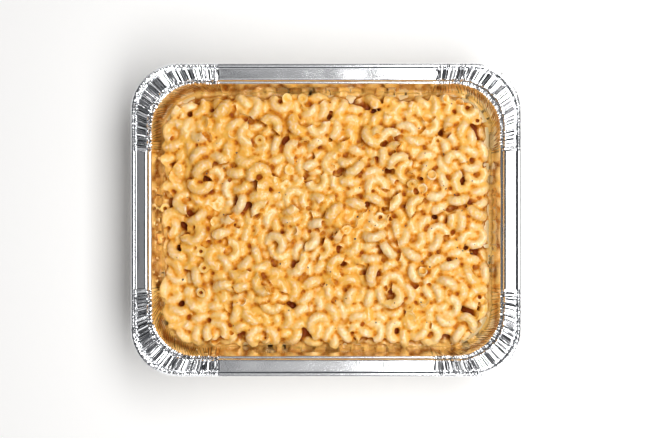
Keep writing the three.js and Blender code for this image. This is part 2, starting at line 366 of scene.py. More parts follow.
def mottledMaterial(name, colour, changed, scale, roughness):
    material, nodes, links, shader = newMaterial(name)
    place = addNode(nodes, "TexCoord")
    mottle = addNode(nodes, "TexNoise", {"Scale": scale})
    links.new(place.outputs["Object"], mottle.inputs["Vector"])
    mixed = mixColours(nodes, links, mottle.outputs["Fac"], colour, changed)
    links.new(mixed, shader.inputs["Base Color"])
    shader.inputs["Roughness"].default_value = roughness
    return material


foil = foilMaterial()
groundPepper = mottledMaterial("groundPepper", (0.02, 0.022, 0.035), (0.06, 0.06, 0.07), 1500, 0.6)
driedSauce = mottledMaterial("driedSauce", (0.93, 0.72, 0.36), (0.86, 0.5, 0.12), 500, 0.35)
cheesyPasta = pastaMaterial()

tray = {
    "seed": 11,
    "foil": 0.3 * mm,  # how far the outside lies from the inside
    "highest": 64.75 * mm,
    # heights of the wall's levels, up the inside and down the outside, in mm
    "insideLevels": (
        5.4, 10, 18, 26, 31, 35, 38, 40.5, 42.5, 44, 45.2,
        46.2, 47.2, 48.2, 49.2, 50.2, 52, 54, 56, 58, 59.7, 61.2,
    ),
    "outsideLevels": (60.5, 55, 51, 49, 47, 44, 38, 28, 12, 5.4),
    "outsideFoot": ((28.8, 2.4), (32.4, 0.05)),
    "baseBend": 4.8 * mm,
    "bendShares": (0.3, 0.65),
    # insets and heights in mm, and how far the folds lift and push each level
    "flangeLevels": (
        (16.0, 61.35, 0.3, 0.7), (15.3, 61.5, 0.5, 0.9), (14.9, 62.0, 0.6, 0.8),
        (14.1, 63.2, 0.65, 0.4), (13.4, 63.9, 0.75, 0.1), (12.3, 64.05, 1, 0),
        (10.5, 63.85, 1, 0), (8.0, 63.5, 1, 0), (6.0, 63.2, 1, 0),
        (4.9, 63.0, 0.7, 0), (4.3, 62.95, 0.3, 0.2),
    ),
    "underLevels": ((5.2, 62.6, 1, 0), (12.3, 63.6, 1, 0), (13.9, 62.9, 0.4, 0.2), (14.8, 61.0, 0, 0.2)),
    "roll": 2.1 * mm,  # radius of the rolled edge
    "rollMiddle": 62.7 * mm,
    "rollAngles": (45, 70, 95, 125, 160, 200, 240, 280, 315),
    "rollFolds": (0.15, 0.3),
    "middleStep": 1.1 * mm,
    "crimpStep": 0.52 * mm,
    "crimpLine": 8 * mm,  # inset of the line that the crimp's rays divide evenly
    "pleatWidth": {1: (1.8, 4.2), -1: (1.0, 3.8)},  # on the right and on the left
    "pleatTilt": 0.62 * mm,
    "pleatLift": (-0.2, 0.2),  # in mm
    "pleatRise": 0.2,  # how steeply a fold may climb from the ledge to the rolled edge
    "pleatRises": (-0.9, 0.8),
    "riseFrom": 9 * mm,  # inset where a rising fold keeps its height
    "crease": 1.1 * mm,
    "creaseWidth": {1: 1.9 * mm, -1: 1.04 * mm},
    "ledge": (14 * mm, 16.5 * mm, 63.3 * mm),  # its insets and its greatest height
    "ledgeRise": 0.8,
    "ledgeSlope": {1: 0.4, -1: 1.0},
    "ledgeGather": (0.05, 0.34),  # in mm
    "flatFlange": 63.6 * mm,  # where the gathered corners lie flatter than the sides
    "rollInset": 4.5 * mm,  # the rolled edge starts here
    "crinkles": (0.5, 0.12, 0.5),  # on the rolled edge, on the flange and sideways, in mm
    "flutePitch": 10.5 * mm,
    "fluteDepth": 1.5 * mm,
    "fluteReach": (57.75 * mm, 26.25 * mm),  # on the long sides and on the short ones
    "fluteTop": 49.5 * mm,
    "fluteRound": 3.2 * mm,
    "fluteEase": 0.9 * mm,
    "streak": 0.35 * mm,
    "streakFade": (41 * mm, 4 * mm, 6 * mm),  # starts here, over this, and ends over this
    "wallFold": 0.8 * mm,
    "wallFoldEnds": (58 * mm, 34 * mm, 44 * mm),  # a fold ends at the first, less a share of the next
    "leastPush": -0.4 * mm,
    "foldLean": 0.4,  # how far the wall's folds lean along it as they run down
    "leanFrom": 61 * mm,
    "leanEase": 20 * mm,
    "leanRadius": 75 * mm,  # turns a lean along the wall into an angle
    "ease": 2 * mm,  # the folds fade over this at the ends of a corner
    "cornerWave": (60, 40, 0.5),  # how fine along the wall and up it, and how deep in mm
    "wallWave": (35, 35, 0.35),
    "flangeWave": (45, 80, 0.22),
    "foldShadeSpan": (36 * mm, 60.5 * mm, 5 * mm),  # painted shade in the wall's folds: from here to here, less a share of the last
    "grooveShade": (0.88, 0.4, 30 * mm, 2 * mm),  # painted shade in the grooves between flutes: phase, darkness, foot, and how far below the top
}


def crimpAngles():  # rays from a crimp's centre that divide its outline evenly
    fine = np.linspace(0, math.pi / 2, 2000)
    places = np.array([rayPlace(a, tray["crimpLine"]) for a in fine])
    along = np.concatenate([[0], np.cumsum(np.hypot(*np.diff(places, axis=0).T))])
    count = int(along[-1] / tray["crimpStep"])
    return np.interp(np.linspace(0, along[-1], count + 1), along, fine), along[-1]


def rayPlace(angle, inset):  # where a ray from the crimp's centre meets a level's outline
    reach = panForm["crimpReach"] - inset
    r = min(cornerAt(inset), reach)
    dx, dy = math.cos(angle), math.sin(angle)
    if dy * reach <= dx * (reach - r):
        return reach, reach * dy / dx
    if dx * reach <= dy * (reach - r):
        return reach * dx / dy, reach
    towards = (dx + dy) * (reach - r)
    t = towards + math.sqrt(max(towards**2 - 2 * (reach - r) ** 2 + r**2, 0))
    return t * dx, t * dy


def trayStations():  # every column of the tray: side or corner, and its place along that
    angles, length = crimpAngles()
    cx = halfLength - panForm["crimpReach"]
    cy = halfWidth - panForm["crimpReach"]
    stations = []
    for k, (sx, sy) in enumerate([(1, 1), (-1, 1), (-1, -1), (1, -1)]):
        turned = angles if sx * sy > 0 else angles[::-1]
        shares = np.linspace(0, 1, len(angles))
        for share, angle in zip(shares[:-1], turned[:-1]):
            stations.append(("corner", k, float(share * length), float(angle), sx, sy))
        half = cx if k % 2 == 0 else cy
        count = int(2 * half / tray["middleStep"])
        for i in range(count):
            stations.append(("side", k, half - 2 * half * i / count, 0.0, sx, sy))
    return stations, length


def pleatTable(length, rng, side):  # each fold of a corner: start, width, tilt, lift, reach, rise, crease
    folds = []
    at = 0.0
    while at < length:
        width = rng.uniform(*tray["pleatWidth"][side]) * mm
        tilt = rng.choice((-1, 1)) * rng.uniform(0.2, 1) * tray["pleatTilt"] * width / (3 * mm)
        rise = rng.uniform(*tray["pleatRises"]) * tray["pleatRise"]
        lift = rng.uniform(*tray["pleatLift"]) * mm
        folds.append((at, width, tilt, lift, rng.random(), rise, tray["creaseWidth"][side]))
        at += width
    return folds


def pleatAt(folds, at):
    for start, width, tilt, lift, reach, rise, creased in folds:
        if at < start + width:
            past = max(at - start, 0)
            crease = tray["crease"] * max(0, 1 - past / creased) * (0.6 + 0.7 * reach)
            return 2 * tilt * (past / width - 0.5) + lift - crease, past, reach, rise
    return 0.0, 1.0, 0.0, 0.0


def reliefShare(z):  # the wall's low relief fades in above its foot; z is in mm
    return min(1, max(0, (z - 5) / 6))


def trayLevels():  # inset, height, pleat up, pleat in, share of the wall's low relief
    edgeInset, edgeZ = panForm["baseEdge"]
    footZ = panForm["wallFoot"][1]
    bend, roll = tray["baseBend"], tray["roll"]
    levels = [(edgeInset, edgeZ, 0, 0, 0)]
    for share in tray["bendShares"]:
        a = share * math.pi / 2
        levels.append((edgeInset - bend * math.sin(a), footZ - bend * math.cos(a), 0, 0, 0))
    for z in tray["insideLevels"]:
        levels.append((wallInset(z * mm), z * mm, 0, 0, reliefShare(z)))
    for inset, z, up, inward in tray["flangeLevels"]:
        levels.append((inset * mm, z * mm, up, inward, 0))
    for degrees in tray["rollAngles"]:
        a = math.radians(degrees)
        place = (roll * (1 + math.cos(a)), tray["rollMiddle"] + roll * math.sin(a))
        levels.append((*place, *tray["rollFolds"], 0))
    for inset, z, up, inward in tray["underLevels"]:
        levels.append((inset * mm, z * mm, up, inward, 0))
    for z in tray["outsideLevels"]:
        levels.append((wallInset(z * mm) - tray["foil"], z * mm, 0, 0, reliefShare(z)))
    for inset, z in tray["outsideFoot"]:
        levels.append((inset * mm, z * mm, 0, 0, 0))
    return levels


def flutePhase(at):  # 0 in the middle of a flute, 1 between two
    return abs(at / tray["flutePitch"] % 1 * 2 - 1)


def scallop(at, z):  # depth of a flute, which ends in a round top
    phase = flutePhase(at)
    top = tray["fluteTop"] - tray["fluteRound"] * (1 - math.sqrt(max(1 - phase**2, 0)))
    return tray["fluteDepth"] * (1 - phase**2) * min(max((top - z) / tray["fluteEase"], 0), 1)


def wave(name, along, up, k):
    fineAlong, fineUp, depth = tray[name]
    return noise.noise(Vector((along * fineAlong, up * fineUp, k))) * depth * mm


def wallPush(z, at, k, past, reach, fade, wall):  # how far a fold of the wall stands in
    foldEnd, foldSpan, lowest = tray["wallFoldEnds"]
    deep = max(0, 1 - past / (2 * tray["crimpStep"]))
    crease = deep * (z > max(foldEnd - reach**2 * foldSpan, lowest))
    return (tray["wallFold"] * crease + wave("cornerWave", at, z, k)) * fade * wall


def cornerPlace(station, level, folds, crinkle):
    _, k, at, angle, sx, sy = station
    inset, z, up, inward, wall = level
    cx = halfLength - panForm["crimpReach"]
    cy = halfWidth - panForm["crimpReach"]
    end = folds[k][-1][0]
    fade = max(min(1, at / tray["ease"], (end - at) / tray["ease"] + 0.6), 0)
    leanShare = max(min(1, at / tray["leanEase"], (end - at) / tray["leanEase"]), 0)
    lean = tray["foldLean"] * max(tray["leanFrom"] - z, 0) * leanShare
    px, py = rayPlace(angle - sx * sy * lean * (wall > 0) / tray["leanRadius"], inset)
    length = math.hypot(px, py)
    lift, past, reach, rise = pleatAt(folds[k], at)
    if wall:
        push = wallPush(z, at, k, past, reach, fade, wall) / length
        push = max(push, tray["leastPush"] / length)
    else:
        onRoll, onFlange, sideways = tray["crinkles"]
        if up >= 0.7:
            z += (tray["flatFlange"] - z) * 0.8 * fade * up
            lift += rise * (tray["riseFrom"] - inset)
        lift *= fade
        rough = onRoll * mm * fade if inset < tray["rollInset"] else onFlange * mm
        push = (lift + crinkle * sideways * mm) * inward / length
        z = min(z + (lift + crinkle * rough) * up, max(z, tray["highest"]))
        nearest, farthest, highest = tray["ledge"]
        if nearest < inset < farthest and z < highest:  # the ledge slopes up to the folds
            topInset, topZ = panForm["wallTop"]
            slope = topZ + (topInset - inset) * tray["ledgeRise"]
            raised, gathered = tray["ledgeGather"]
            z += ((slope - z) * tray["ledgeSlope"][sx] + (raised + gathered * crinkle) * mm) * fade
    return Vector((sx * (cx + px * (1 - push)), sy * (cy + py * (1 - push)), z))


def sidePlace(station, level, _, crinkle):
    k, at = station[1:3]
    inset, z, _, _, wall = level
    relief = 0.0
    if abs(at) < tray["fluteReach"][k % 2]:
        relief = scallop(at, z) * wall
    elif wall and z < tray["fluteTop"]:
        lowest, riseOver, fallOver = tray["streakFade"]
        fall = (tray["fluteTop"] - z) / fallOver
        relief = crinkle * tray["streak"] * min(1, fall, max(0, (z - lowest) / riseOver))
    if wall:
        relief += wave("wallWave", at, z, k * 7)
    elif 5 * mm < inset < 15 * mm:
        z += wave("flangeWave", at, inset, k * 7)
    offset = inset - relief
    if k % 2 == 0:
        side = 1 if k == 0 else -1
        return Vector((at * side, side * (halfWidth - offset), z))
    side = -1 if k == 1 else 1
    return Vector((side * (halfLength - offset), at * -side, z))


def foldShadeShare(station, level, folds):  # painted shade: 1 along the bottom of a fold, less in the grooves between two flutes
    kind, k, at, _, sx, _ = station
    inset, z, up, _, wall = level
    if kind == "side":
        phase, share, lowest, below = tray["grooveShade"]
        between = flutePhase(at) > phase and abs(at) < tray["fluteReach"][k % 2] + mm
        return share * (between and wall > 0 and lowest < z < tray["fluteTop"] - below)
    _, past, reach, _ = pleatAt(folds[k], at)
    columns = 2 if sx > 0 and not wall else 1
    if past >= columns * tray["crimpStep"] or inset < tray["rollInset"]:
        return 0.0
    if wall:
        lowest, highest, varied = tray["foldShadeSpan"]
        return min(1.0, 0.5 + reach) * (highest - reach * varied > z > lowest)
    return (0.5 + 0.5 * reach) * (up == 1)


def makeTray():
    rng = random.Random(tray["seed"])
    stations, length = trayStations()
    folds = [pleatTable(length, rng, side) for side in (1, -1, -1, 1)]
    levels = trayLevels()
    crinkles = [rng.uniform(-1, 1) for _ in stations]
    placeOf = {"corner": cornerPlace, "side": sidePlace}
    bm = bmesh.new()
    column = bm.verts.layers.int.new("column")
    foldShade = bm.verts.layers.float.new("foldShade")
    ring = bmesh.ops.create_circle(bm, segments=len(stations), radius=1)["verts"]
    for i, vert in enumerate(sorted(ring, key=lambda v: math.atan2(v.co.y, v.co.x))):
        vert[column] = i
    for n, level in enumerate(levels):
        places = [placeOf[s[0]](s, level, folds, c) for s, c in zip(stations, crinkles)]
        if n:
            ring, loop = growLoop(bm, loop)
        else:
            loop = list(bm.edges)
            first = list(ring)
        for vert in ring:
            vert.co = places[vert[column]]
            vert[foldShade] = foldShadeShare(stations[vert[column]], level, folds)
    bmesh.ops.contextual_create(bm, geom=openEdges(first))
    bmesh.ops.contextual_create(bm, geom=loop)
    bmesh.ops.recalc_face_normals(bm, faces=bm.faces)
    walls = bvhtree.BVHTree.FromBMesh(bm)
    mesh = newMesh("foilTray", bm)
    cx, cy = halfLength - panForm["crimpReach"], halfWidth - panForm["crimpReach"]
    for face in mesh.polygons:  # the folds keep sharp edges
        x, y, z = face.center
        face.use_smooth = abs(x) < cx or abs(y) < cy or z < panForm["wallTop"][1] + 0.1 * mm
    addObject("foilTray", mesh, foil, "foil", "foil_pan")
    printTriangles(mesh)
    return walls


trayWalls = makeTray()
print("tray ready")

pasta = {
    "seed": 5,
    "count": 760,
    "bend": 7.0 * mm,  # radius of an elbow's middle line
    "tube": 3.5 * mm,
    "hole": 2.0 * mm,
    "holeDepth": 2.6 * mm,
    "arcs": (112, 130, 145, 160, 178, 205),  # degrees
    "balls": 6,  # an elbow is a string of these while it settles
    "endShare": 0.45,  # how far the end balls lie inside the elbow's ends
    "cells": (16, 13),  # the elbows of each layer start as a loose grid
    "jitter": 0.3,
    "startInset": 34 * mm,
    "startLift": 4 * mm,
    "layerLift": 8,  # in mm
    "tip": 0.35,
    "layer": 17 * mm,  # depth of the loose elbows above the bed
    "proud": 7 * mm,  # how far the highest elbows may stand out
    "drop": 0.4 * mm,
    "steps": 140,
    "lid": (30, 6),  # in mm, how far above the top they may start and below it end
    "sink": 3 * mm,  # how far they may sink into the bed
    "wallGap": 1.5 * mm,
    "edgeGap": 2.6 * mm,
    "edgeInset": 24 * mm,
    "cornerGap": 2.5 * mm,
    "farGap": 1.6 * mm,  # added on the right and at the top
    "touch": 7.3 * mm,
    "slump": 7.5 * mm,
    "slumpReach": 8 * mm,
    "archPull": 0.12 * mm,  # turns an elbow's ends down a little at each step
}
sauce = {
    "seed": 3,
    "coats": (0.55 * mm, 0.95 * mm, 1.5 * mm),
    "coatSteps": (-0.1, 0.35),  # where the coat turns thicker, on a scale from -1 to 1
    "coatDrift": (1.4, 0.4, 0.2),  # thicker by patches, to the left and to the back
    "closing": 1.05 * mm,  # radius of the fillets that the sauce makes
    "cap": ((0.9, -1.6 * mm), (0.74, -1.3 * mm), (0.45, 0.1 * mm)),  # rings that close an end
    "clearance": 0.06 * mm,
    "pressed": 1.1 * mm,
    "ripple": 0.6 * mm,
    "voxel": 0.6 * mm,
    "fullDepth": 1.5 * mm,
    "pluggedShare": 0.35,
    "pluggedDepth": 0.45,
    "webShare": 0.3,
    "web": (5 * mm, 5 * mm, 3 * mm),  # of sauce, across the inside of an elbow's bend
    "webDrop": (0.8, 2.5),
    "bed": 14 * mm,
    "bedEdge": 9 * mm,
    "bedLevel": 40 * mm,  # about where the bed meets the wall
    "bedBumps": 3 * mm,
    "bedThickness": 4 * mm,
    "edgeRise": (4 * mm, 3.5 * mm),  # by every wall, and more by the right one
    "lumps": 150,
    "lumpSize": (2.6, 6.2),
    "lumpDrop": (0.5, 3.2),
    "crumbs": 150,
    "crumbSize": (1.2, 2.6),
    "crumbDrop": (2.5, 9),
    "tiles": (3, 2),
    "tiled": (0.88, 0.85),  # the share of the pan that the tiles divide
    "buried": 1.5 * mm,
    # the masks of painted shade and highlight: where each starts, over how much it grows, and how strong
    # it is
    "foldMask": (0.02, 0.3, 0.65),
    "swellMask": (0.05, 1.1, 0.7),
    "thinSauceAndHighlightMask": (0.14, 0.6, 0.85),
    "crackShadeMask": (0.24, 0.3, 1),
    "wideGaps": (12, 1.0 * mm, 4 * mm),  # how far they are averaged, and the depths they run over
    "smallGaps": (3, 0.7 * mm, 3 * mm),
}


def pushApart(balls, owner, reach):
    order = np.argsort(balls[:, 0])
    p, who = balls[order], owner[order]
    move = np.zeros_like(p)
    for k in range(1, len(p)):
        gap = p[k:] - p[:-k]
        if gap[:, 0].min() > reach:
            break
        close = (gap[:, 0] < reach) & (np.abs(gap[:, 1]) < reach)
        near = np.nonzero(close & (who[k:] != who[:-k]))[0]
        far = np.sqrt((gap[near] ** 2).sum(1))
        hit = near[far < reach]
        far = far[far < reach]
        shift = gap[hit] * ((reach - far) / (2 * far + 1e-9))[:, None]
        move[hit + k] += shift
        move[hit] -= shift
    out = balls.copy()
    out[order] += move
    return out


def keepInside(p, gap):  # moves points in from the wall, so that each keeps its gap
    inset = wallInset(p[:, 2])
    r = wallCorner(inset)
    qx = np.abs(p[:, 0]) - (halfLength - inset - r)
    qy = np.abs(p[:, 1]) - (halfWidth - inset - r)
    lack = np.maximum(gap - depthInside(p[:, 0], p[:, 1], inset), 0)
    inCorner = (qx > 0) & (qy > 0)
    span = np.hypot(qx, qy) + 1e-9
    ux = np.where(inCorner, qx / span, (qx > qy) * 1.0)
    uy = np.where(inCorner, qy / span, (qx <= qy) * 1.0)
    p[:, 0] -= np.sign(p[:, 0]) * ux * lack
    p[:, 1] -= np.sign(p[:, 1]) * uy * lack
    return p


def farShare(p):  # 1 by the right wall and the top one
    return np.clip(np.maximum(p[:, 0] / (120 * mm), p[:, 1] / (90 * mm)) * 4 - 3, 0, 1)


def edgeGap(p):  # how far the loose elbows keep from the wall, more in the corners
    r = wallCorner(wallInset(p[:, 2]))
    qx = np.maximum(np.abs(p[:, 0]) - (halfLength - pasta["edgeInset"] - r), 0)
    qy = np.maximum(np.abs(p[:, 1]) - (halfWidth - pasta["edgeInset"] - r), 0)
    corner = 2 * qx * qy / (qx**2 + qy**2 + 1e-9)
    mx, my = p[:, 0] / mm, p[:, 1] / mm
    wander = 0.5 + 0.28 * np.sin(mx / 9 + my / 14) + 0.22 * np.sin(my / 6.5 - mx / 21 + 2)
    far = farShare(p) * pasta["farGap"]
    along = (pasta["edgeGap"] + far) * wander**1.5
    return pasta["wallGap"] + along + pasta["cornerGap"] * corner + far * 0.5


def elbowTop(x, y):  # how high the loose elbows lie, slumping a little by the wall
    fromWall = np.maximum(depthInside(x, y, panForm["wallTop"][0]), 0)
    return heapTop(x, y) - pasta["slump"] * np.exp(-fromWall / pasta["slumpReach"])


def bedTop(p):  # the sauce that lies under the loose elbows, higher by the wall
    fromWall = depthInside(p[:, 0], p[:, 1], wallInset(p[:, 2]))
    inside = np.clip(fromWall / sauce["bedEdge"], 0, 1)
    everywhere, onRight = sauce["edgeRise"]
    rise = everywhere + onRight * np.clip(p[:, 0] / (30 * mm) - 3, 0, 1)
    return heapTop(p[:, 0], p[:, 1]) - sauce["bed"] + rise * (1 - inside)


def arcPlaces(angles):  # places along an elbow's middle line
    return pasta["bend"] * np.stack([np.cos(angles), np.sin(angles), np.zeros_like(angles)], 2)


def startElbows(rng, middle):  # centres and turns, layer over layer
    count, (columns, rows) = pasta["count"], pasta["cells"]
    reachX, reachY = halfLength - pasta["startInset"], halfWidth - pasta["startInset"]
    cells = np.array([(i, j) for i in range(columns) for j in range(rows)])
    shuffled = [rng.permutation(len(cells)) for _ in range(count // len(cells) + 1)]
    order = np.concatenate(shuffled)[:count]
    layer = np.arange(count) // len(cells)
    jitter = pasta["jitter"]
    across = (cells[order, 0] + 0.5 + rng.uniform(-jitter, jitter, count)) / columns
    up = (cells[order, 1] + 0.5 + rng.uniform(-jitter, jitter, count)) / rows
    x, y = (across * 2 - 1) * reachX, (up * 2 - 1) * reachY
    z = heapTop(x, y) - pasta["layer"] + pasta["startLift"] + layer * pasta["layerLift"] * mm
    tips = rng.normal(0, pasta["tip"], (count, 2))
    spins = rng.uniform(0, 2 * math.pi, count)
    turns = np.array([Euler((a, b, c)).to_matrix() for (a, b), c in zip(tips, spins)])
    return np.stack([x, y, z], 1) - np.einsum("nij,nj->ni", turns, middle[:, 0]), turns


def settleElbows():
    rng = np.random.default_rng(pasta["seed"])
    count, balls, radius = pasta["count"], pasta["balls"], pasta["tube"]
    kinds = rng.integers(0, len(pasta["arcs"]), count)
    arcs = np.radians(np.array(pasta["arcs"]))[kinds]
    ends = arcs - 2 * pasta["endShare"] * pasta["tube"] / pasta["bend"]
    local = arcPlaces(np.linspace(-0.5, 0.5, balls)[None, :] * ends[:, None])
    middle = local.mean(1, keepdims=True)
    centres, turns = startElbows(rng, middle)
    lid = np.repeat(pasta["proud"] * rng.uniform(0, 1, count) ** 1.5, balls)
    owner = np.repeat(np.arange(count), balls)
    arch = 0.35 - np.abs(np.linspace(-1, 1, balls)) ** 1.5
    arch = np.tile(arch, count) * pasta["archPull"]
    above, below = pasta["lid"]
    for step in range(pasta["steps"]):
        left = 1 - step / pasta["steps"]
        centres[:, 2] -= pasta["drop"] * (left > 0.2)
        for _ in range(2):
            p = (np.einsum("nij,nkj->nki", turns, local) + centres[:, None]).reshape(-1, 3)
            p = pushApart(p, owner, pasta["touch"])
            p[:, 2] += arch
            p = keepInside(p, radius + edgeGap(p))
            top = elbowTop(p[:, 0], p[:, 1])
            p[:, 2] = np.maximum(p[:, 2], bedTop(p) - pasta["sink"] + radius)
            highest = np.maximum(lid - radius, left * above * mm - below * mm)
            p[:, 2] = np.minimum(p[:, 2], top + highest)
            p = p.reshape(count, balls, 3)
            mean = p.mean(1, keepdims=True)  # then each elbow gets its own shape back
            u, _, vt = np.linalg.svd(np.einsum("nki,nkj->nij", local - middle, p - mean))
            vt[:, 2] *= np.sign(np.linalg.det(u) * np.linalg.det(vt))[:, None]
            turns = np.einsum("nij,njk->nki", u, vt)
            centres = mean[:, 0] - np.einsum("nij,nj->ni", turns, middle[:, 0])
    return kinds, arcs, turns, centres


def elbowShape(arc, coat, plugged):  # one elbow with holes or caps, fattened for the fusing
    outer = pasta["tube"] + coat + sauce["closing"]
    hole = max(pasta["hole"] - coat * 0.4 - sauce["closing"] * 0.75, 0.8 * mm)
    arc = arc + 2 * sauce["closing"] / pasta["bend"]
    steps = sauce["cap"] if plugged else ((hole / outer, 0), (1, pasta["holeDepth"]))
    bm = bmesh.new()
    across = Matrix.Translation((pasta["bend"], 0, 0)) @ Matrix.Rotation(math.pi / 2, 4, "X")
    turn = Matrix.Rotation(-arc / 2, 4, "Z") @ across
    start = bmesh.ops.create_circle(bm, segments=14, radius=outer, matrix=turn)["verts"]
    swept = list(start) + list(bm.edges)
    spun = bmesh.ops.spin(bm, geom=swept, cent=(0, 0, 0), axis=(0, 0, 1), angle=arc, steps=10)
    for ring, angle, way in ((start, -arc / 2, 1), (spun["geom_last"], arc / 2, -1)):
        middle = Vector((math.cos(angle), math.sin(angle), 0)) * pasta["bend"]
        inward = Vector((-math.sin(angle), math.cos(angle), 0)) * way
        edges = openEdges([g for g in ring if isinstance(g, bmesh.types.BMVert)])
        for scale, deeper in steps:
            rim, edges = growLoop(bm, edges)
            for v in rim:
                v.co = middle + (v.co - middle) * scale + inward * deeper
        bmesh.ops.contextual_create(bm, geom=edges)
    bmesh.ops.recalc_face_normals(bm, faces=bm.faces)
    return newMesh("elbow", bm)


def makeBed(bm):  # a thick slab of sauce that the elbows are fused to
    made = bmesh.ops.create_grid(bm, x_segments=100, y_segments=80, size=0.5)["verts"]
    places = np.array([v.co[:] for v in made]) * (2 * halfLength, 2 * halfWidth, 0)
    places = places + (0, 0, sauce["bedLevel"])
    gap = 0.3 * mm - sauce["closing"]
    places = keepInside(places, gap)
    rough = np.array([noise.noise(Vector(p) * 130) for p in places])
    places[:, 2] = bedTop(places) + sauce["closing"] + sauce["bedBumps"] * rough
    places = keepInside(places, gap)
    for v, place in zip(made, places):
        v.co = place
    faces = list({f for v in made for f in v.link_faces})
    for g in bmesh.ops.extrude_face_region(bm, geom=faces)["geom"]:
        if isinstance(g, bmesh.types.BMVert):
            g.co.z -= sauce["bedThickness"]


def ballMesh():
    bm = bmesh.new()
    bmesh.ops.create_icosphere(bm, subdivisions=2, radius=1)
    return newMesh("ball", bm)


def addCopy(bm, mesh, matrix):
    copied = mesh.copy()
    copied.transform(matrix)
    bm.from_mesh(copied)
    bpy.data.meshes.remove(copied)


def anywhere(rng):  # a random place over the pasta
    return rng.uniform(-0.82, 0.82) * halfLength, rng.uniform(-0.78, 0.78) * halfWidth


def addLumps(bm, ball, rng):  # dollops and bits of sauce, the large ones most of them to one side
    for _ in range(sauce["lumps"]):
        x = -halfLength * 0.8 + 1.6 * halfLength * rng.random() ** 1.5
        y = halfWidth * 0.75 * (1 - 2 * rng.random() ** 1.3)
        size = rng.uniform(*sauce["lumpSize"]) * mm
        z = float(heapTop(x, y)) - size * 0.5 - rng.uniform(*sauce["lumpDrop"]) * mm
        place = Matrix.Translation((x, y, z)) @ Matrix.Rotation(rng.uniform(0, 3), 4, "Z")
        stretch = Matrix.Diagonal((rng.uniform(1.0, 2.0), 1, rng.uniform(0.5, 0.9), 1))
        addCopy(bm, ball, place @ stretch @ Matrix.Scale(size + sauce["closing"], 4))
    for _ in range(sauce["crumbs"]):  # small bits between the elbows
        x, y = anywhere(rng)
        place = Vector((x, y, float(elbowTop(x, y)) - rng.uniform(*sauce["crumbDrop"]) * mm))
        size = rng.uniform(*sauce["crumbSize"]) * mm + sauce["closing"]
        addCopy(bm, ball, Matrix.Translation(place) @ Matrix.Scale(size, 4))


def fuseElbows(kinds, turns, centres, middles):  # one skin round the elbows, the bed and the lumps
    rng = random.Random(sauce["seed"])
    shapes, plugged = {}, []
    ball = ballMesh()
    bm = bmesh.new()
    patchy, toLeft, toBack = sauce["coatDrift"]
    thicker, thickest = sauce["coatSteps"]
    for kind, turn, centre, (x, y, _) in zip(kinds, turns, centres, middles):
        thick = noise.noise(Vector((x * 30, y * 30, 3))) * patchy
        thick = thick - toLeft * x / halfLength + toBack * y / halfWidth
        coat = sauce["coats"][int(thick > thicker) + int(thick > thickest)]
        choice = (pasta["arcs"][kind], coat, rng.random() < sauce["pluggedShare"])
        plugged.append(choice[2])
        if choice not in shapes:
            shapes[choice] = elbowShape(math.radians(choice[0]), *choice[1:])
        turned = Matrix(turn.tolist())
        addCopy(bm, shapes[choice], Matrix.LocRotScale(Vector(centre), turned, None))
        if rng.random() < sauce["webShare"]:
            web = Vector(centre) + turned @ Vector((pasta["bend"] * 0.35, 0, 0))
            web.z -= rng.uniform(*sauce["webDrop"]) * mm
            addCopy(bm, ball, Matrix.Translation(web) @ Matrix.Diagonal((*sauce["web"], 1)))
    makeBed(bm)
    addLumps(bm, ball, rng)
    whole = bakeModifiers(newMesh("macaroni", bm), "macaroni", [
        ("REMESH", {"mode": "VOXEL", "voxel_size": sauce["voxel"]}),
        ("SMOOTH", {"factor": 0.5, "iterations": 2}),
        ("DISPLACE", {"strength": -sauce["closing"], "mid_level": 0}),
        ("SMOOTH", {"factor": 0.5, "iterations": 3}),
    ])
    return whole, np.array(plugged)


def coordinates(mesh):
    places = np.empty(len(mesh.vertices) * 3, np.float32)
    normals = np.empty(len(mesh.vertices) * 3, np.float32)
    mesh.vertices.foreach_get("co", places)
    mesh.vertex_normals.foreach_get("vector", normals)
    return places.reshape(-1, 3).astype(float), normals.reshape(-1, 3).astype(float)


def hollowShare(places, rounds, start, full):  # 0 on what stands out, 1 deep in a gap; it sets painted shade
    cell = 1.5 * mm
    column = ((places[:, 0] + halfLength) / cell).astype(int)
    row = ((places[:, 1] + halfWidth) / cell).astype(int)
    size = (column.max() + 3, row.max() + 3)
    middles = (np.indices(size) + 0.5) * cell - np.array([halfLength, halfWidth])[:, None, None]
    top = elbowTop(*middles) - 3 * mm
    np.maximum.at(top, (column, row), places[:, 2])
    for _ in range(rounds):
        for axis in (0, 1):
            top = (np.roll(top, 1, axis) + 2 * top + np.roll(top, -1, axis)) / 4
    fromWall = depthInside(places[:, 0], places[:, 1], wallInset(places[:, 2]))
    hollowShade = np.clip((top[column, row] - places[:, 2] - start) / full, 0, 1) ** 1.4
    # the painted shade fades by the walls
    return hollowShade * np.clip(0.15 + fromWall / (14 * mm), 0, 1)


def average(values, pairs, rounds):  # over neighbouring points
    first, second = pairs.T
    size = len(values)
    count = np.bincount(first, minlength=size) + np.bincount(second, minlength=size)
    for _ in range(rounds):
        near = [
            np.bincount(first, v[second], size) + np.bincount(second, v[first], size)
            for v in values.T
        ]
        values = (values + np.stack(near, 1) / count[:, None]) / 2
    return values


